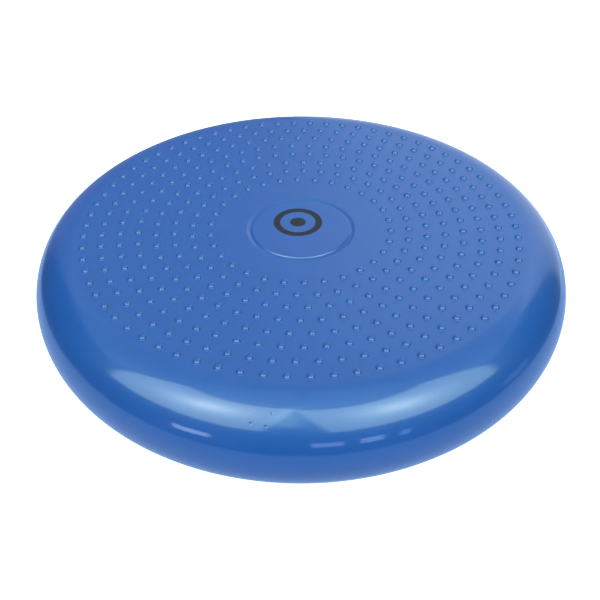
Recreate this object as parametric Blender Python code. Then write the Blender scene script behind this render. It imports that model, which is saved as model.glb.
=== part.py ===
"""Inflatable wobble cushion: a hollow soft-vinyl disc with a plug valve in its rim.

Metres, +Z up. The cushion rests on z = 0 with its axis on the Z axis. The valve is at +Y. The moulded skin
is cut into rings where it flexes, so that each ring can follow the part of the cushion it belongs to.
"""

import math

import bmesh
import bpy
from mathutils import Matrix

# Driving dimensions of the cushion
RADIUS = 0.175
HEIGHT = 0.065
WALL = 0.004
FLAT_RADIUS = 0.1475  # where the rim's round side meets the flat faces
DISH = 0.0018  # the top face's centre is this much lower than its edge
GAP = 0.0003  # between neighbouring solids
SEGMENTS = 72
SMALL_SEGMENTS = 24

# Where the skin is cut: heights on the outer side of the rim, and a radius on the top face
BOTTOM_CUT = 0.0045
LOWER_CUT = 0.0208
UPPER_CUT = HEIGHT - LOWER_CUT
TOP_CUT = HEIGHT - BOTTOM_CUT
CENTRE_CUT_RADIUS = 0.080

# The groove moulded round the middle of the top face, steeper on its inner side
GROOVE_INNER = 0.0321
GROOVE_MIDDLE = 0.0334
GROOVE_OUTER = 0.0358
GROOVE_DEPTH = 0.0009

# The valve: radii across its axis, and distances from the cushion's axis along it
VALVE_OUTER = 0.007
VALVE_BORE = 0.0032
VALVE_FACE = RADIUS
VALVE_INNER_END = 0.1505
FLANGE_RADIUS = 0.010
FLANGE_FROM = 0.1662
FLANGE_TO = 0.1690
RECESS_RADIUS = 0.0052
RECESS_DEPTH = 0.0030
NOTCH_RADIUS = 0.0016
NOTCH_DEPTH = 0.0022
CORE_FLANGE_RADIUS = 0.0055
CORE_FLANGE = 0.0022
CORE_LENGTH = 0.0090
NEEDLE_RADIUS = 0.0005
PLUG_PIN_RADIUS = 0.0026
PLUG_TIP_RADIUS = 0.0019
PLUG_TIP = 0.0015
PLUG_HEAD_RADIUS = RECESS_RADIUS - GAP
PLUG_HEAD = 0.0024

MID_HEIGHT = HEIGHT / 2


def clear_scene():
    for obj in list(bpy.data.objects):
        bpy.data.objects.remove(obj, do_unlink=True)


def material(name, colour, roughness):
    made = bpy.data.materials.new(name)
    made.use_nodes = True
    shader = made.node_tree.nodes["Principled BSDF"]
    shader.inputs["Base Color"].default_value = (*colour, 1.0)
    shader.inputs["Roughness"].default_value = roughness
    shader.inputs["Metallic"].default_value = 0.0
    return made


def turned(name, outline, finish, segments=SEGMENTS):
    """A closed outline of (radius, height) points, turned about the Z axis into a solid."""
    mesh = bmesh.new()
    corners = [mesh.verts.new((radius, 0.0, height)) for radius, height in outline]
    sides = []
    for start, end in zip(corners, corners[1:] + corners[:1]):
        if start.co.x > 0.0 or end.co.x > 0.0:
            sides.append(mesh.edges.new((start, end)))
    bmesh.ops.spin(
        mesh,
        geom=corners + sides,
        cent=(0.0, 0.0, 0.0),
        axis=(0.0, 0.0, 1.0),
        angle=math.tau,
        steps=segments,
        use_merge=True,
    )
    bmesh.ops.remove_doubles(mesh, verts=mesh.verts, dist=1e-6)
    bmesh.ops.recalc_face_normals(mesh, faces=mesh.faces)
    data = bpy.data.meshes.new(name)
    mesh.to_mesh(data)
    mesh.free()
    data.shade_smooth()
    data.set_sharp_from_angle(angle=math.radians(35))
    data.materials.append(finish)
    obj = bpy.data.objects.new(name, data)
    bpy.context.scene.collection.objects.link(obj)
    return obj


def rim_point(angle, inset):
    """A point of the rim's round side, at this angle from straight down, this far inside the surface."""
    across = RADIUS - FLAT_RADIUS - inset
    up = MID_HEIGHT - inset
    return FLAT_RADIUS + across * math.sin(angle), MID_HEIGHT - up * math.cos(angle)


def rim_angle(height):
    return math.acos(1.0 - height / MID_HEIGHT)


def rim_wall(low, high, steps):
    """Outer points from height low to height high, and the inner points back down."""
    first, last = rim_angle(low), rim_angle(high)
    angles = [first + (last - first) * i / steps for i in range(steps + 1)]
    outer = [rim_point(angle, 0.0) for angle in angles]
    inner = [rim_point(angle, WALL) for angle in reversed(angles)]
    return outer, inner


def top_height(radius):
    """The height of the dished top face."""
    return HEIGHT - DISH * (1.0 - (radius / FLAT_RADIUS) ** 2)


def bottom_skin(vinyl):
    outer, inner = rim_wall(0.0, BOTTOM_CUT, 2)
    outline = [(0.0, 0.0)] + outer + inner + [(0.0, WALL)]
    return turned("bottom_skin", outline, vinyl)


def rim_ring(name, low, high, steps, vinyl):
    outer, inner = rim_wall(low + GAP / 2, high - GAP / 2, steps)
    return turned(name, outer + inner, vinyl)


def top_rim(vinyl):
    """The shoulder above the round side, with the outer part of the top face."""
    outer, inner = rim_wall(TOP_CUT + GAP / 2, HEIGHT, 2)
    cut = CENTRE_CUT_RADIUS + GAP / 2
    face = [(cut, top_height(cut)), (cut, top_height(cut) - WALL)]
    return turned("top_rim", outer + face + inner, vinyl)


def top_centre(vinyl):
    """The middle of the top face, which is pressed in, with the groove moulded in it."""
    cut = CENTRE_CUT_RADIUS - GAP / 2
    outline = [
        (cut, top_height(cut) - WALL),
        (cut, top_height(cut)),
        (GROOVE_OUTER, top_height(GROOVE_OUTER)),
        (GROOVE_MIDDLE, top_height(GROOVE_MIDDLE) - GROOVE_DEPTH),
        (GROOVE_INNER, top_height(0.0)),
        (0.0, top_height(0.0)),
        (0.0, top_height(0.0) - WALL),
        (GROOVE_INNER, top_height(0.0) - WALL),
    ]
    return turned("top_centre", outline, vinyl)


def cutter(name, radius, depth, place):
    """A helper cylinder that is cut away from another solid."""
    mesh = bmesh.new()
    bmesh.ops.create_cone(
        mesh,
        cap_ends=True,
        segments=SMALL_SEGMENTS,
        radius1=radius,
        radius2=radius,
        depth=depth,
        matrix=place,
    )
    data = bpy.data.meshes.new(name)
    mesh.to_mesh(data)
    mesh.free()
    obj = bpy.data.objects.new(name, data)
    bpy.context.scene.collection.objects.link(obj)
    obj.hide_render = True
    obj.display_type = "WIRE"
    return obj


def cut_away(obj, tool):
    cut = obj.modifiers.new("cut", "BOOLEAN")
    cut.operation = "DIFFERENCE"
    cut.object = tool


def on_valve_axis(obj):
    """Lays a piece that was turned about Z along the valve's axis, pointing out at +Y."""
    obj.rotation_euler = (-math.pi / 2, 0.0, 0.0)
    obj.location = (0.0, 0.0, MID_HEIGHT)


def waist_band(vinyl):
    """The widest part of the rim, with the hole that the valve sits in."""
    band = rim_ring("waist_band", LOWER_CUT, UPPER_CUT, 4, vinyl)
    place = Matrix.Translation((0.0, RADIUS, MID_HEIGHT)) @ Matrix.Rotation(math.pi / 2, 4, "X")
    cut_away(band, cutter("valve_hole", VALVE_OUTER + GAP, 4 * WALL, place))
    return band


def valve_seat(rubber):
    """The moulded tube for the valve, with a flange behind the skin and a recess for the plug's head."""
    recess = VALVE_FACE - RECESS_DEPTH
    outline = [
        (VALVE_BORE, VALVE_INNER_END),
        (VALVE_OUTER, VALVE_INNER_END),
        (VALVE_OUTER, FLANGE_FROM),
        (FLANGE_RADIUS, FLANGE_FROM),
        (FLANGE_RADIUS, FLANGE_TO),
        (VALVE_OUTER, FLANGE_TO),
        (VALVE_OUTER, VALVE_FACE),
        (RECESS_RADIUS, VALVE_FACE),
        (RECESS_RADIUS, recess),
        (VALVE_BORE, recess),
    ]
    seat = turned("valve_seat", outline, rubber, SMALL_SEGMENTS)
    on_valve_axis(seat)
    # A thumbnail notch above the plug's head
    centre = Matrix.Translation((0.0, VALVE_FACE, MID_HEIGHT + RECESS_RADIUS))
    place = centre @ Matrix.Rotation(math.pi / 2, 4, "X")
    cut_away(seat, cutter("thumbnail_notch", NOTCH_RADIUS, 2 * NOTCH_DEPTH, place))
    return seat


def valve_core(rubber):
    """The soft one-way core inside the seat. The pump's needle goes through its fine hole."""
    start = VALVE_INNER_END - GAP - CORE_FLANGE
    shoulder = VALVE_INNER_END - GAP
    stem = VALVE_BORE - GAP
    outline = [
        (NEEDLE_RADIUS, start),
        (CORE_FLANGE_RADIUS, start),
        (CORE_FLANGE_RADIUS, shoulder),
        (stem, shoulder),
        (stem, start + CORE_LENGTH),
        (NEEDLE_RADIUS, start + CORE_LENGTH),
    ]
    core = turned("valve_core", outline, rubber, SMALL_SEGMENTS)
    on_valve_axis(core)
    return core


def valve_plug(plastic):
    """The stopper: a tapered pin in the seat's bore, with a flat head in its recess."""
    under_head = VALVE_FACE - RECESS_DEPTH + GAP
    tip = VALVE_INNER_END - CORE_FLANGE + CORE_LENGTH + GAP
    outline = [
        (0.0, tip),
        (PLUG_TIP_RADIUS, tip),
        (PLUG_PIN_RADIUS, tip + PLUG_TIP),
        (PLUG_PIN_RADIUS, under_head),
        (PLUG_HEAD_RADIUS, under_head),
        (PLUG_HEAD_RADIUS, under_head + PLUG_HEAD),
        (0.0, under_head + PLUG_HEAD),
    ]
    plug = turned("valve_plug", outline, plastic, SMALL_SEGMENTS)
    on_valve_axis(plug)
    return plug


def main():
    clear_scene()
    vinyl = material("blue_vinyl", (0.012, 0.085, 0.330), 0.35)
    rubber = material("valve_rubber", (0.010, 0.062, 0.240), 0.50)
    plastic = material("plug_plastic", (0.600, 0.620, 0.640), 0.35)
    bottom_skin(vinyl)
    rim_ring("lower_sidewall", BOTTOM_CUT, LOWER_CUT, 2, vinyl)
    waist_band(vinyl)
    rim_ring("upper_sidewall", UPPER_CUT, TOP_CUT, 2, vinyl)
    top_rim(vinyl)
    top_centre(vinyl)
    valve_seat(rubber)
    valve_core(rubber)
    valve_plug(plastic)


main()
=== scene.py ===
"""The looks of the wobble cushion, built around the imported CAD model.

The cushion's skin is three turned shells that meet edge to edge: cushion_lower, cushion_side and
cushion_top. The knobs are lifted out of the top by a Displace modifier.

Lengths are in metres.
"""

import math

import bmesh
import bpy
import numpy as np
from mathutils import Matrix, Vector
from mathutils.geometry import delaunay_2d_cdt


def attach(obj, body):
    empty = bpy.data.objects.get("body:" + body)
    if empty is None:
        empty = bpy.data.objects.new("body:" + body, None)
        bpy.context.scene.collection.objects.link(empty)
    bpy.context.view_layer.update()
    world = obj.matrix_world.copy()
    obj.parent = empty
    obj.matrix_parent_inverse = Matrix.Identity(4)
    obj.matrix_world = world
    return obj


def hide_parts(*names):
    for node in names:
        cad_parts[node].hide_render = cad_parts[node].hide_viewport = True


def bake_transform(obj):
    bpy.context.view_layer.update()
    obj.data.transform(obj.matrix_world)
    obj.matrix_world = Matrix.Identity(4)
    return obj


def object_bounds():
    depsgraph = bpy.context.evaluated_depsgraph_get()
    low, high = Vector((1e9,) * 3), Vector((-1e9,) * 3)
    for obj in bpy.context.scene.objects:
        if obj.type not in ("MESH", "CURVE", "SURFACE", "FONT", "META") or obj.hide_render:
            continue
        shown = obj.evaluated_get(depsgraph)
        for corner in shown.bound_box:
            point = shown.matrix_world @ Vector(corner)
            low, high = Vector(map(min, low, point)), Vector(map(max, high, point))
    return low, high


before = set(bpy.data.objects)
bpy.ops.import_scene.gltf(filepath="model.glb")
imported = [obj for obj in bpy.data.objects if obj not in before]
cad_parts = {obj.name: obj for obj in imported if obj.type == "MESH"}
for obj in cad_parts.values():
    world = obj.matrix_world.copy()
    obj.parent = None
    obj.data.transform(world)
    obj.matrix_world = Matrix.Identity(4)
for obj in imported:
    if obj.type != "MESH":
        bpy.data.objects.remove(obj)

cad_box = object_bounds()

# The cushion's shape, as in the CAD model
RADIUS = cad_box[1].x
HEIGHT = cad_box[1].z
MID_HEIGHT = HEIGHT / 2
FLAT_RADIUS = 0.1475
WALL = 0.004
FACE_CENTRE = 0.0632  # height of the middle of the dished top face
DISH = HEIGHT - FACE_CENTRE
OUTER_SIDE = FACE_CENTRE - WALL / 2  # only the outer side of the top face is higher than this
SEGMENTS = 256
SHARP_ANGLE = math.radians(35.0)  # an edge over this is shaded as a sharp one

# The knobs: eight evenly spaced rings, which all have one knob on the same ray
KNOB_RINGS = (30, 36, 41, 47, 52, 58, 64, 70)
FIRST_RING = 0.0595
LAST_RING = 0.1416
KNOB_RAY = math.radians(-52.0)
KNOB_RADIUS = 0.0024
KNOB_HEIGHT = 0.0018
KNOB_SEGMENTS = 16
KNOB_COLLAR = 1.2  # the plain margin round a knob, as a share of its radius
KNOB_STEPS = (KNOB_COLLAR, 1.0, 0.97, 0.93, 0.88, 0.82, 0.73, 0.61, 0.46, 0.25)
KNOB_EDGE_POWER = 12  # the higher it is, the tighter the curve at a knob's foot
FIELD_INNER = 0.052  # the knobs stand between these two radii
FIELD_OUTER = 0.1466
NET_TOLERANCE = 1e-7
WELD_DISTANCE = 2e-6

# The moulded groove round the middle of the top face
GROOVE_RADIUS = 0.0334
GROOVE_INNER_WALL = 0.0013
GROOVE_OUTER_WALL = 0.0024
GROOVE_DEPTH = 0.0009

# The radii of the plain rings: outside the groove, inside it, at the face's edge and on its back
PLAIN_OUTSIDE = (FIELD_INNER, 0.046, 0.040)
PLAIN_INSIDE = (0.026, 0.020, 0.012, 0.005, 0.0)
PLAIN_EDGE = (FIELD_OUTER, 0.1471, FLAT_RADIUS - 0.0001, FLAT_RADIUS)
PLAIN_BACK = (FLAT_RADIUS, 0.12, 0.09, 0.06, 0.03, 0.0)

# The printed mark beside the middle
MARK_PLACE = (-0.002, 0.007)
MARK_RADIUS = 0.0140
MARK_LINE = 0.0044
MARK_DOT = 0.0052

# Small moulding pits in the rim: shallow dents, with painted shade in them
PITS = (
    (-0.0265, -0.1652, 0.0549),
    (-0.0187, -0.1666, 0.0542),
    (-0.0156, -0.1624, 0.0594),
)
PIT_RADIUS = 0.0009

# The underside's low ribs
RIB_RADII = tuple(0.030 + 0.018 * i for i in range(6))
RIB_HALF_WIDTH = 0.0030
RIB_HEIGHT = 0.0007
FOOT_INSET = 0.012  # from the flat's edge to where the underside starts down to the floor
FOOT_WIDTH = 0.008

# The valve, on the axis that points out at +Y at mid height
VALVE_HOLE = 0.0073
VALVE_BORE = 0.0032
TUBE_RADIUS = 0.0070
TUBE_END = 0.1505
FLANGE_RADIUS = 0.0100
FLANGE = (0.1662, 0.1690)  # its inner and outer faces, behind the skin
LIP_RADIUS = 0.0092
LIP_BACK = RADIUS - 0.0006
LIP_FACE = RADIUS + 0.0007
RECESS_RADIUS = 0.0052
RECESS_FLOOR = RADIUS - 0.0030

# Its plug
PLUG_TIP = 0.1576
PIN_RADIUS = 0.0024
BEAD_RADIUS = 0.0026
HEAD_RADIUS = 0.0049
HEAD_BACK = RADIUS - 0.0027
HEAD_FACE = RADIUS - 0.0003

# The camera
CAMERA_ELEVATION = math.radians(34.88)
CAMERA_DISTANCE = 0.6078
CAMERA_LENS = 55.14
CAMERA_SHIFT = (-0.0015, -0.120)
CAMERA_ROLL = math.radians(-0.25)


# ---------------------------------------------------------------- materials


def new_material(name):
    made = bpy.data.materials.new(name)
    made.use_nodes = True
    return made, made.node_tree.nodes, made.node_tree.links


def add_node(nodes, kind, **settings):
    node = nodes.new(kind)
    for name, value in settings.items():
        setattr(node, name, value)
    return node


def math_node(nodes, links, operation, *values):
    node = add_node(nodes, "ShaderNodeMath", operation=operation)
    for socket, value in zip(node.inputs, values):
        if isinstance(value, bpy.types.NodeSocket):
            links.new(value, socket)
        else:
            socket.default_value = value
    return node.outputs[0]


def rest_place(nodes):
    """The point's place as the skin was built, so that a pattern stays on the skin."""
    return add_node(nodes, "ShaderNodeAttribute", attribute_name="rest_place").outputs["Vector"]


def noise(nodes, links, place, scale, detail):
    node = add_node(nodes, "ShaderNodeTexNoise")
    node.inputs["Scale"].default_value = scale
    node.inputs["Detail"].default_value = detail
    links.new(place, node.inputs["Vector"])
    return node.outputs["Fac"]


def mix_colour(nodes, links, factor, first, second):
    node = add_node(nodes, "ShaderNodeMix", data_type="RGBA")
    links.new(factor, node.inputs["Factor"])
    for socket, value in ((node.inputs["A"], first), (node.inputs["B"], second)):
        if isinstance(value, bpy.types.NodeSocket):
            links.new(value, socket)
        else:
            socket.default_value = (*value, 1.0)
    return node.outputs["Result"]


def map_range(nodes, links, value, low, high, to_low, to_high, kind="LINEAR"):
    """The value's range from low to high, mapped to the one from to_low to to_high."""
    node = add_node(nodes, "ShaderNodeMapRange", interpolation_type=kind)
    links.new(value, node.inputs["Value"])
    node.inputs["From Min"].default_value = low
    node.inputs["From Max"].default_value = high
    node.inputs["To Min"].default_value = to_low
    node.inputs["To Max"].default_value = to_high
    return node.outputs["Result"]


def bump(nodes, links, height, depth, normal=None):
    """A bump in which a height of 1 stands for this depth in metres."""
    node = add_node(nodes, "ShaderNodeBump")
    node.inputs["Strength"].default_value = 1.0
    node.inputs["Distance"].default_value = depth
    links.new(height, node.inputs["Height"])
    if normal:
        links.new(normal, node.inputs["Normal"])
    return node.outputs["Normal"]


VINYL = (0.0105, 0.0855, 0.340)
VINYL_DEEP = (0.0095, 0.0805, 0.324)
# a darker blue painted in the pits as their shade
VINYL_PIT_SHADE = (0.005, 0.040, 0.180)
INK = (0.012, 0.012, 0.010)
INK_COAT = 0.1  # the coat's weight over the ink
GLOSSY_COAT = 0.04  # the coat's roughness on the rim
SATIN_COAT = 0.24  # on the flat of the top face
KNOB_COAT = 0.38  # and on its knobs
VINYL_ROUGHNESS = (0.32, 0.46)
NOISE_SPREAD = (0.3, 0.7)  # where most of a noise's values lie
MOTTLE_SPREAD = (0.35, 0.65)
MOTTLE_SCALE = 60.0  # features per metre, as for the next two
PEBBLE_SCALE = 900.0
UNEVEN_SCALE = 45.0
UNEVEN_DEPTH = 0.0001
PIT_DEPTH = 0.0001
GRAIN_DEPTH = 0.00001
COAT_GRAIN_DEPTH = 0.000014
RUBBER_BLUE = (0.010, 0.062, 0.240)
PLUG_GREY = (0.60, 0.62, 0.64)
RUBBER_GRAIN_DEPTH = 0.00002


def vinyl_material(name, sheen, printed=False):
    """Soft vinyl: a faint mottle, painted pit shade, a fine pebble, and a clear coat of this
    roughness over it.
    """
    made, nodes, links = new_material(name)
    shader = nodes["Principled BSDF"]
    place = rest_place(nodes)
    mottle = noise(nodes, links, place, MOTTLE_SCALE, 4.0)
    paleness = map_range(nodes, links, mottle, *MOTTLE_SPREAD, 0.0, 1.0)
    colour = mix_colour(nodes, links, paleness, VINYL_DEEP, VINYL)
    pit_dents_and_shade = pit_dent_and_shade_mask(nodes, links, place)
    # painted shade in the pits
    colour = mix_colour(nodes, links, pit_dents_and_shade, colour, VINYL_PIT_SHADE)
    if printed:
        mask = mark_mask(nodes, links, place)
        colour = mix_colour(nodes, links, mask, colour, INK)
        coat = map_range(nodes, links, mask, 0.0, 1.0, 1.0, INK_COAT)
        links.new(coat, shader.inputs["Coat Weight"])
    links.new(colour, shader.inputs["Base Color"])
    pebble = noise(nodes, links, place, PEBBLE_SCALE, 2.0)
    roughness = map_range(nodes, links, pebble, *NOISE_SPREAD, *VINYL_ROUGHNESS)
    links.new(roughness, shader.inputs["Roughness"])
    uneven = bump(nodes, links, noise(nodes, links, place, UNEVEN_SCALE, 1.0), UNEVEN_DEPTH)
    uneven = bump(nodes, links, pit_dents_and_shade, -PIT_DEPTH, uneven)
    grain = bump(nodes, links, pebble, GRAIN_DEPTH, uneven)
    coat_grain = bump(nodes, links, pebble, COAT_GRAIN_DEPTH, uneven)
    links.new(grain, shader.inputs["Normal"])
    links.new(coat_grain, shader.inputs["Coat Normal"])
    shader.inputs["IOR"].default_value = 1.55
    shader.inputs["Coat Weight"].default_value = 1.0
    shader.inputs["Coat Roughness"].default_value = sheen
    shader.inputs["Coat IOR"].default_value = 1.6
    return made


def pit_dent_and_shade_mask(nodes, links, place):
    """1 in the middle of each pit, falling to 0 at its edge: where the pits are dented and their
    shade painted.
    """
    mask = 0.0
    for centre in PITS:
        away = add_node(nodes, "ShaderNodeVectorMath", operation="DISTANCE")
        links.new(place, away.inputs[0])
        away.inputs[1].default_value = centre
        distance = away.outputs["Value"]
        pit = map_range(nodes, links, distance, 0.3 * PIT_RADIUS, PIT_RADIUS, 1.0, 0.0)
        mask = math_node(nodes, links, "MAXIMUM", mask, pit)
    return mask


def mark_mask(nodes, links, place):
    """1 on the printed mark, a ring with a dot in it, and 0 elsewhere."""
    split = add_node(nodes, "ShaderNodeSeparateXYZ")
    links.new(place, split.inputs[0])
    right = math_node(nodes, links, "SUBTRACT", split.outputs["X"], MARK_PLACE[0])
    back = math_node(nodes, links, "SUBTRACT", split.outputs["Y"], MARK_PLACE[1])
    right_squared = math_node(nodes, links, "MULTIPLY", right, right)
    back_squared = math_node(nodes, links, "MULTIPLY", back, back)
    squares = math_node(nodes, links, "ADD", right_squared, back_squared)
    distance = math_node(nodes, links, "SQRT", squares)
    beyond = math_node(nodes, links, "SUBTRACT", distance, MARK_RADIUS)
    from_ring = math_node(nodes, links, "ABSOLUTE", beyond)
    ring = math_node(nodes, links, "LESS_THAN", from_ring, MARK_LINE / 2)
    dot = math_node(nodes, links, "LESS_THAN", distance, MARK_DOT)
    mark = math_node(nodes, links, "MAXIMUM", ring, dot)
    outside = math_node(nodes, links, "GREATER_THAN", split.outputs["Z"], OUTER_SIDE)
    return math_node(nodes, links, "MULTIPLY", mark, outside)


def rubber_material(name, colour, roughness, grain):
    """Moulded rubber or plastic with a fine grain, of this many features per metre."""
    made, nodes, links = new_material(name)
    shader = nodes["Principled BSDF"]
    place = add_node(nodes, "ShaderNodeTexCoord").outputs["Object"]
    speckle = noise(nodes, links, place, grain, 3.0)
    darker = tuple(0.85 * part for part in colour)
    tint = mix_colour(nodes, links, speckle, darker, colour)
    roughness_range = (roughness - 0.05, roughness + 0.05)
    dulling = map_range(nodes, links, speckle, *NOISE_SPREAD, *roughness_range)
    relief = bump(nodes, links, speckle, RUBBER_GRAIN_DEPTH)
    links.new(tint, shader.inputs["Base Color"])
    links.new(dulling, shader.inputs["Roughness"])
    links.new(relief, shader.inputs["Normal"])
    return made


# ---------------------------------------------------------------- meshes


def circle(centre, radius, count):
    """The (x, y) places of this many points round a centre, or of the centre itself."""
    if radius == 0.0:
        return [centre]
    turns = (math.tau * i / count for i in range(count))
    return [(centre[0] + radius * math.sin(t), centre[1] - radius * math.cos(t)) for t in turns]


def turned_rings(mesh, outline, segments):
    """A ring of vertices about the Z axis for each (radius, height) point of an outline."""
    rings = []
    for radius, height in outline:
        places = circle((0.0, 0.0), radius, segments)
        rings.append([mesh.verts.new((x, y, height)) for x, y in places])
    return rings


def turned(outline, segments=SEGMENTS):
    """A bmesh of a closed outline of (radius, height) points turned about the Z axis."""
    mesh = bmesh.new()
    rings = turned_rings(mesh, outline, segments)
    join_all(mesh, rings + rings[:1])
    return mesh


def join_all(mesh, rings):
    """Faces between each ring of vertices and the next."""
    for ring, following in zip(rings, rings[1:]):
        join_rings(mesh, ring, following)


def join_rings(mesh, ring, following):
    """Faces between two rings of vertices, either of which may be a single point."""
    if len(ring) == 1 and len(following) == 1:
        return
    count = max(len(ring), len(following))
    for i in range(count):
        after = (i + 1) % count
        corners = [ring[i % len(ring)], ring[after % len(ring)]]
        corners += [following[after % len(following)], following[i % len(following)]]
        unique = [corner for k, corner in enumerate(corners) if corner not in corners[:k]]
        mesh.faces.new(unique)


def finished(name, mesh, material):
    """The bmesh as a smooth-shaded object of this material."""
    bmesh.ops.recalc_face_normals(mesh, faces=mesh.faces)
    data = bpy.data.meshes.new(name)
    mesh.to_mesh(data)
    mesh.free()
    obj = bpy.data.objects.new(name, data)
    bpy.context.scene.collection.objects.link(obj)
    data.materials.append(material)
    data.shade_smooth()
    data.set_sharp_from_angle(angle=SHARP_ANGLE)
    return obj


def remember_rest(obj):
    """Stores each point's place, for the material to read."""
    places = np.empty(len(obj.data.vertices) * 3, np.float32)
    obj.data.vertices.foreach_get("co", places)
    stored = obj.data.attributes.new("rest_place", "FLOAT_VECTOR", "POINT")
    stored.data.foreach_set("vector", places)


def rim_point(angle, inset=0.0):
    """A point this far inside the rim's round side, at this angle from straight down."""
    across = RADIUS - FLAT_RADIUS - inset
    up = MID_HEIGHT - inset
    return FLAT_RADIUS + across * math.sin(angle), MID_HEIGHT - up * math.cos(angle)


def rim_arc(first, last, steps, inset=0.0):
    """Points of the round side between two angles in degrees. The very short first and last steps
    keep the shading of neighbouring shells in line."""
    shares = [0.0, 0.002] + [i / steps for i in range(1, steps)] + [0.998, 1.0]
    return [rim_point(math.radians(first + (last - first) * share), inset) for share in shares]


def face_height(radius):
    """The height of the dished top face, which is level at its middle and at its edge."""
    return HEIGHT - DISH * (1.0 - min(radius / FLAT_RADIUS, 1.0) ** 2) ** 2


def swell(distance, half_width):
    """A smooth hump, 1 in the middle and 0 past its half width."""
    share = min(abs(distance) / half_width, 1.0)
    return (1.0 - share * share) ** 2


def ease(share):
    """The share, 0 to 1, with a gentle start and end."""
    return share * share * (3.0 - 2.0 * share)


def groove_depth(radius):
    wall = GROOVE_INNER_WALL if radius < GROOVE_RADIUS else GROOVE_OUTER_WALL
    return GROOVE_DEPTH * swell(radius - GROOVE_RADIUS, wall)


def underside():
    """Outer points of the underside from its middle to the rim. The ribs touch the floor."""
    outline = [(0.0, RIB_HEIGHT)]
    for centre in RIB_RADII:
        for step in range(-4, 5):
            radius = centre + RIB_HALF_WIDTH * step / 4
            lowered = swell(radius - centre, RIB_HALF_WIDTH)
            outline.append((radius, RIB_HEIGHT * (1.0 - lowered)))
    foot = FLAT_RADIUS - FOOT_INSET
    for step in range(5):
        share = step / 4
        outline.append((foot + FOOT_WIDTH * share, RIB_HEIGHT * (1.0 - ease(share))))
    return outline


def cushion_lower(material):
    outer = underside() + rim_arc(0.0, 90.0, 30)
    inner = rim_arc(90.0, 0.0, 12, WALL) + [(0.0, WALL)]
    return finished("cushion_lower", turned(outer + inner), material)


def cushion_side(material):
    outer = rim_arc(90.0, 180.0, 36)
    inner = rim_arc(180.0, 90.0, 12, WALL)
    return finished("cushion_side", turned(outer + inner), material)


def knob_places():
    """(x, y) of every knob."""
    places = []
    for index, count in enumerate(KNOB_RINGS):
        radius = FIRST_RING + (LAST_RING - FIRST_RING) * index / (len(KNOB_RINGS) - 1)
        for i in range(count):
            turn = KNOB_RAY + math.tau * i / count
            places.append((radius * math.cos(turn), radius * math.sin(turn)))
    return places


def knob_field():
    """The net between the plain circles and the knobs' feet, seen flat, as points and triangles."""
    loops = [circle((0.0, 0.0), radius, SEGMENTS) for radius in (FIELD_OUTER, FIELD_INNER)]
    loops += [circle(place, KNOB_RADIUS * KNOB_COLLAR, KNOB_SEGMENTS) for place in knob_places()]
    points, owners, edges = [], [], []
    for owner, loop in enumerate(loops):
        start = len(points)
        points += [Vector(point) for point in loop]
        owners += [owner] * len(loop)
        edges += [(start + i, start + (i + 1) % len(loop)) for i in range(len(loop))]
    flat, _, faces, origins, _, _ = delaunay_2d_cdt(points, edges, [], 0, NET_TOLERANCE)
    owner_of = [owners[origin[0]] for origin in origins]
    # A face whose corners all come from one loop would fill a knob's foot or the plain middle
    kept = [face for face in faces if len({owner_of[i] for i in face}) > 1]
    return flat, kept


def on_face(x, y):
    """The point of the dished face over this place."""
    return (x, y, face_height(math.hypot(x, y)))


def face_outline():
    """Two open outlines: the face from its field of knobs inwards, and its edge and its back."""
    inward = list(PLAIN_OUTSIDE)
    inward += [GROOVE_RADIUS + GROOVE_OUTER_WALL * step / 6 for step in range(7, 0, -1)]
    inward += [GROOVE_RADIUS - GROOVE_INNER_WALL * step / 5 for step in range(7)]
    inward += PLAIN_INSIDE
    middle = [(radius, face_height(radius) - groove_depth(radius)) for radius in inward]
    edge = [(radius, face_height(radius)) for radius in PLAIN_EDGE]
    back = [(radius, face_height(radius) - WALL) for radius in PLAIN_BACK]
    return middle, edge + back


def cushion_top(material, knob_material):
    """The dished face. Its knobs lie flat in the mesh, with their height in a vertex group."""
    mesh = bmesh.new()
    flat, faces = knob_field()
    field = [mesh.verts.new(on_face(*point)) for point in flat]
    for face in faces:
        mesh.faces.new([field[i] for i in face])
    for place in knob_places():
        knob_patch(mesh, place)
    for outline in face_outline():
        join_all(mesh, turned_rings(mesh, outline, SEGMENTS))
    bmesh.ops.remove_doubles(mesh, verts=mesh.verts, dist=WELD_DISTANCE)
    obj = finished("cushion_top", mesh, material)
    obj.data.materials.append(knob_material)
    raise_knobs(obj)
    return obj


def knob_patch(mesh, place):
    """The net inside one knob's foot: rings that close in on its middle."""
    rings = []
    for step in (*KNOB_STEPS, 0.0):
        loop = circle(place, KNOB_RADIUS * step, KNOB_SEGMENTS)
        rings.append([mesh.verts.new(on_face(x, y)) for x, y in loop])
    join_all(mesh, rings)


def knob_lift(places):
    """How far up each point is in its knob, from 0 on the plain face to 1 on a knob's middle."""
    outside = places[:, 2] > OUTER_SIDE
    lift = np.zeros(len(places))
    for x, y in knob_places():
        distance = np.hypot(places[:, 0] - x, places[:, 1] - y) / KNOB_RADIUS
        near = outside & (distance < 1.0)
        dome = np.sqrt(1.0 - distance[near] ** 2)
        lift[near] = dome * (1.0 - distance[near] ** KNOB_EDGE_POWER)
    return lift


def raise_knobs(obj):
    """Lifts the knobs with a Displace modifier that reads their vertex group."""
    lift = knob_lift(np.array([vertex.co for vertex in obj.data.vertices]))
    for face in obj.data.polygons:
        face.material_index = int(lift[list(face.vertices)].any())
    group = obj.vertex_groups.new(name="raised")
    levels = np.round(lift, 4)
    for level in np.unique(levels[levels > 0.0]):
        group.add(np.flatnonzero(levels == level).tolist(), float(level), "REPLACE")
    displace = obj.modifiers.new("raised_knobs", "DISPLACE")
    displace.vertex_group = "raised"
    displace.direction = "NORMAL"
    displace.mid_level = 0.0
    displace.strength = KNOB_HEIGHT


# ---------------------------------------------------------------- the valve


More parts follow.
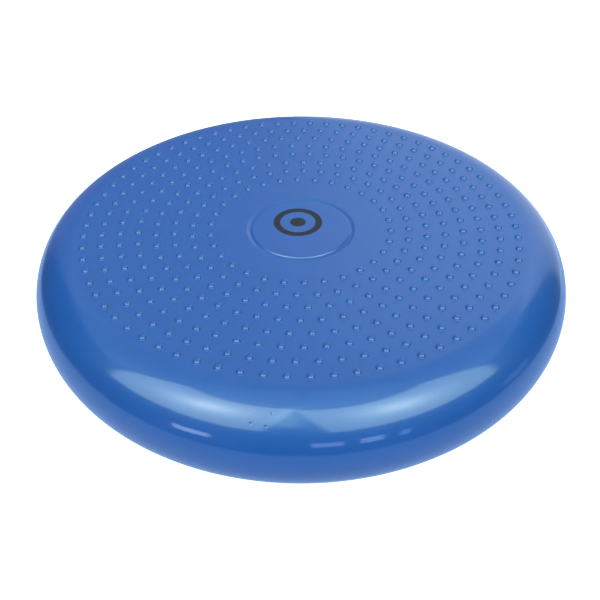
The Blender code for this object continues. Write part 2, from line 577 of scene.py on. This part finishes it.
def on_valve_axis(obj):
    """Lays a piece that was turned about Z along the valve's axis, pointing out at +Y."""
    turn = Matrix.Rotation(-math.pi / 2, 4, "X")
    obj.data.transform(Matrix.Translation((0.0, 0.0, MID_HEIGHT)) @ turn)


def cut(obj, tool):
    """Cuts tool out of obj for good and removes it."""
    modifier = obj.modifiers.new("cut", "BOOLEAN")
    modifier.operation = "DIFFERENCE"
    modifier.object = tool
    graph = bpy.context.evaluated_depsgraph_get()
    data = bpy.data.meshes.new_from_object(obj.evaluated_get(graph))
    obj.modifiers.clear()
    obj.data = data
    bpy.data.objects.remove(tool)


def valve_hole_tool(material):
    start = RADIUS - 0.012
    end = RADIUS + 0.005
    outline = [(0.0, start), (VALVE_HOLE, start), (VALVE_HOLE, end), (0.0, end)]
    tool = finished("valve_hole_tool", turned(outline, 48), material)
    on_valve_axis(tool)
    return tool


def valve_seat(material):
    """The moulded seat: a soft lip on the skin, a recess for the plug's head, and the bore."""
    tube = [(VALVE_BORE, TUBE_END), (TUBE_RADIUS, TUBE_END), (TUBE_RADIUS, FLANGE[0])]
    flange = [(FLANGE_RADIUS, FLANGE[0]), (FLANGE_RADIUS, FLANGE[1]), (TUBE_RADIUS, FLANGE[1])]
    lip = [
        (TUBE_RADIUS, LIP_BACK),
        (LIP_RADIUS, LIP_BACK),
        (LIP_RADIUS, RADIUS - 0.0002),
        (LIP_RADIUS - 0.0003, LIP_FACE - 0.0003),
        (LIP_RADIUS - 0.0009, LIP_FACE),
    ]
    recess = [
        (RECESS_RADIUS + 0.0008, LIP_FACE),
        (RECESS_RADIUS + 0.0003, LIP_FACE - 0.0002),
        (RECESS_RADIUS, LIP_FACE - 0.0006),
        (RECESS_RADIUS, RECESS_FLOOR),
        (VALVE_BORE, RECESS_FLOOR),
    ]
    outline = tube + flange + lip + recess
    seat = finished("valve_seat_rubber", turned(outline, 64), material)
    on_valve_axis(seat)
    return seat


def valve_plug(material):
    """The stopper: a pin with a bead that holds it, and a flat head with a dimple."""
    pin = [
        (0.0, PLUG_TIP),
        (0.0016, PLUG_TIP),
        (0.0019, PLUG_TIP + 0.0003),
        (PIN_RADIUS, PLUG_TIP + 0.0018),
        (BEAD_RADIUS, PLUG_TIP + 0.0024),
        (BEAD_RADIUS, PLUG_TIP + 0.0032),
        (PIN_RADIUS, PLUG_TIP + 0.0040),
        (PIN_RADIUS, HEAD_BACK),
    ]
    head = [
        (HEAD_RADIUS - 0.0003, HEAD_BACK),
        (HEAD_RADIUS, HEAD_BACK + 0.0003),
        (HEAD_RADIUS, HEAD_FACE - 0.0004),
        (HEAD_RADIUS - 0.0004, HEAD_FACE),
    ]
    dimple = [(0.0030, HEAD_FACE), (0.0022, HEAD_FACE - 0.0004), (0.0, HEAD_FACE - 0.0006)]
    plug = finished("valve_plug_cap", turned(pin + head + dimple, 64), material)
    on_valve_axis(plug)
    return plug


# ---------------------------------------------------------------- the studio


def direction(azimuth, elevation):
    """The unit vector at an azimuth from -Y towards +X and an elevation, in degrees."""
    a, e = math.radians(azimuth), math.radians(elevation)
    return Vector((math.sin(a) * math.cos(e), -math.cos(a) * math.cos(e), math.sin(e)))


def along(nodes, links, place, way):
    """How far the place lies along a unit vector."""
    node = add_node(nodes, "ShaderNodeVectorMath", operation="DOT_PRODUCT")
    links.new(place, node.inputs[0])
    node.inputs[1].default_value = way
    return node.outputs["Value"]


def below(nodes, links, angle, limit, edge):
    """1 where the angle is under the limit and 0 over it, with a soft edge. Both are in degrees."""
    low, high = math.radians(limit - edge), math.radians(limit + edge)
    return map_range(nodes, links, angle, low, high, 1.0, 0.0, "SMOOTHSTEP")


def panel(
    nodes, links, place, elevation, azimuth, half_width, middle, half_height, edge, flare=0.0
):
    """1 on a soft-edged panel, given in degrees, and 0 off it. It widens upwards by its flare."""
    ahead = along(nodes, links, place, direction(azimuth, 0.0))
    aside = along(nodes, links, place, direction(azimuth + 90.0, 0.0))
    turn = math_node(nodes, links, "ABSOLUTE", math_node(nodes, links, "ARCTAN2", aside, ahead))
    rise = math_node(nodes, links, "SUBTRACT", elevation, math.radians(middle))
    off = math_node(nodes, links, "MULTIPLY_ADD", rise, -flare, turn)
    within = below(nodes, links, off, half_width, edge)
    level = below(nodes, links, math_node(nodes, links, "ABSOLUTE", rise), half_height, edge)
    return math_node(nodes, links, "MULTIPLY", within, level)


def glow(nodes, links, place, azimuth, elevation, spread):
    """A round glow, brightest at a direction, with long tails. Its spread is in degrees."""
    towards = along(nodes, links, place, direction(azimuth, elevation))
    away = math_node(nodes, links, "SUBTRACT", 1.0, towards)
    wide = math_node(nodes, links, "MULTIPLY_ADD", away, 2.0 / math.radians(spread) ** 2, 1.0)
    return math_node(nodes, links, "POWER", wide, -1.5)


def add_light(nodes, links, name, total, mask, colour):
    """The total with this colour added wherever the mask is 1."""
    node = add_node(nodes, "ShaderNodeVectorMath", operation="MULTIPLY_ADD", name=name)
    links.new(mask, node.inputs[0])
    node.inputs[1].default_value = colour
    links.new(total, node.inputs[2])
    return node.outputs["Vector"]


def plain_floor():
    """A pale floor that looks white and leaves the reflections to the studio."""
    bpy.ops.mesh.primitive_circle_add(vertices=96, radius=8.0, fill_type="NGON")
    obj = bpy.context.object
    obj.name = "floor"
    made, nodes, _ = new_material("floor")
    shader = nodes["Principled BSDF"]
    shader.inputs["Base Color"].default_value = (0.9, 0.9, 0.9, 1.0)
    shader.inputs["Roughness"].default_value = 0.9
    shader.inputs["Specular IOR Level"].default_value = 0.0
    shader.inputs["Emission Color"].default_value = (1.0, 1.0, 1.0, 1.0)
    shader.inputs["Emission Strength"].default_value = 0.75
    obj.data.materials.append(made)
    obj.visible_glossy = False
    obj.visible_diffuse = False


# Each softbox: azimuth, half width, elevation, half height, edge and flare of its panel, azimuth,
# elevation and spread of the lamp behind it, in degrees, and the colours of the two
SOFTBOXES = {
    "left_box": (
        (-46.5, 37.3, 41.5, 24.5, 2.5, 0.22),
        (-43.0, 46.0, 12.0),
        (1.35, 2.0, 1.85),
        (4.2, 5.2, 4.9),
    ),
    "right_box": (
        (45.0, 41.0, 40.0, 24.0, 2.5, 0.26),
        (43.0, 43.0, 12.0),
        (1.35, 2.0, 1.85),
        (3.7, 4.7, 4.1),
    ),
}
# Each panel of light: azimuth, half width, elevation, half height and softness of its edges in
# degrees, then its colour
PANELS = {
    "left_strip": (-40.0, 7.0, -7.0, 3.5, 1.0, (2.5, 3.1, 4.4)),
    "near_strip": (9.0, 5.5, -6.5, 3.7, 1.0, (1.25, 1.65, 2.45)),
    "right_strip": (25.0, 4.2, -6.0, 4.2, 1.0, (1.5, 2.15, 3.3)),
    "far_strip": (37.0, 1.8, -7.0, 4.0, 1.0, (0.9, 1.4, 2.2)),
    "between_boxes": (-6.0, 6.0, 48.0, 20.0, 6.0, (0.7, 1.5, 1.3)),
    "side_strip": (86.0, 7.0, -9.0, 4.0, 3.0, (0.24, 0.44, 0.8)),
    "overhead": (0.0, 181.0, 90.0, 24.0, 6.0, (0.40, 0.60, 0.64)),
    "high_back": (180.0, 92.0, 51.0, 14.0, 6.0, (0.28, 0.37, 0.45)),
    "backdrop": (180.0, 43.0, 10.0, 30.0, 6.0, (0.17, 0.20, 0.38)),
    "backdrop_right": (154.0, 25.0, 10.0, 30.0, 3.0, (0.42, 0.50, 0.52)),
}
TABLE_EDGE = -17.0  # the table's edge, seen to the sides and behind, in degrees
TABLE_DROP = 11.0  # how much lower it is in front
TABLE_SOFTNESS = 3.0
TABLE = (0.31, 0.50, 0.86)
ROOM = (0.04, 0.065, 0.13)


def softbox(nodes, links, name, total, place, elevation, shape, lamp, even, hot):
    """The total with a softbox added: an evenly lit panel, and a brighter patch round its lamp."""
    mask = panel(nodes, links, place, elevation, *shape)
    total = add_light(nodes, links, name, total, mask, even)
    patch = math_node(nodes, links, "MULTIPLY", mask, glow(nodes, links, place, *lamp))
    return add_light(nodes, links, name + "_lamp", total, patch, hot)


def room_light(nodes, name, colour):
    node = add_node(nodes, "ShaderNodeRGB", name=name)
    node.outputs["Color"].default_value = (*colour, 1.0)
    return node.outputs["Color"]


def studio_light(nodes, links, place):
    """The light from each direction: of the room, the table, the softboxes and the panels."""
    split = add_node(nodes, "ShaderNodeSeparateXYZ")
    links.new(place, split.inputs[0])
    elevation = math_node(nodes, links, "ARCSINE", split.outputs["Z"])
    ahead = math_node(nodes, links, "MINIMUM", split.outputs["Y"], 0.0)
    tilted = math_node(nodes, links, "MULTIPLY_ADD", ahead, -math.radians(TABLE_DROP), elevation)
    on_table = below(nodes, links, tilted, TABLE_EDGE, TABLE_SOFTNESS)
    total = room_light(nodes, "room", ROOM)
    total = add_light(nodes, links, "table", total, on_table, TABLE)
    for name, parts in SOFTBOXES.items():
        total = softbox(nodes, links, name, total, place, elevation, *parts)
    for name, (*angles, colour) in PANELS.items():
        mask = panel(nodes, links, place, elevation, *angles)
        total = add_light(nodes, links, name, total, mask, colour)
    return total


def studio():
    """Soft light from all round, and a plain white for the camera to see behind the cushion."""
    plain_floor()
    world = bpy.data.worlds.new("studio")
    bpy.context.scene.world = world
    world.use_nodes = True
    nodes, links = world.node_tree.nodes, world.node_tree.links
    place = add_node(nodes, "ShaderNodeTexCoord").outputs["Generated"]
    total = studio_light(nodes, links, place)
    seen = add_node(nodes, "ShaderNodeLightPath").outputs["Is Camera Ray"]
    shown = mix_colour(nodes, links, seen, total, (1.0, 1.0, 1.0))
    links.new(shown, nodes["Background"].inputs["Color"])


def camera():
    data = bpy.data.cameras.new("camera")
    obj = bpy.data.objects.new("camera", data)
    bpy.context.scene.collection.objects.link(obj)
    back = Vector((0.0, -math.cos(CAMERA_ELEVATION), math.sin(CAMERA_ELEVATION)))
    place = Matrix.Translation(Vector((0.0, 0.0, FACE_CENTRE)) + back * CAMERA_DISTANCE)
    look = (-back).to_track_quat("-Z", "Y").to_matrix().to_4x4()
    obj.matrix_world = place @ look @ Matrix.Rotation(CAMERA_ROLL, 4, "Z")
    data.sensor_width = 36.0
    data.lens = CAMERA_LENS
    data.shift_x, data.shift_y = CAMERA_SHIFT
    bpy.context.scene.camera = obj


# ---------------------------------------------------------------- the whole


def cushion():
    plain = vinyl_material("blue_vinyl", GLOSSY_COAT)
    printed = vinyl_material("blue_vinyl_printed", SATIN_COAT, printed=True)
    knobs = vinyl_material("blue_vinyl_knobs", KNOB_COAT)
    lower = cushion_lower(plain)
    side = cushion_side(plain)
    top = cushion_top(printed, knobs)
    for piece in (lower, side):
        cut(piece, valve_hole_tool(plain))
    for piece in (lower, side, top):
        remember_rest(piece)
    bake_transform(lower)
    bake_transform(side)
    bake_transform(top)
    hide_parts("bottom_skin", "lower_sidewall")
    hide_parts("waist_band", "upper_sidewall")
    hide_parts("top_rim", "top_centre")


def valve():
    rubber = rubber_material("valve_rubber", RUBBER_BLUE, roughness=0.45, grain=900.0)
    plastic = rubber_material("plug_plastic", PLUG_GREY, roughness=0.35, grain=1500.0)
    seat = valve_seat(rubber)
    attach(seat, "waist")
    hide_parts("valve_seat")
    plug = valve_plug(plastic)
    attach(plug, "plug")
    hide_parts("valve_plug")
    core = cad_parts["valve_core"]
    core.material_slots[0].material = rubber


camera()
studio()
cushion()
valve()
bpy.context.scene.view_settings.view_transform = "Standard"
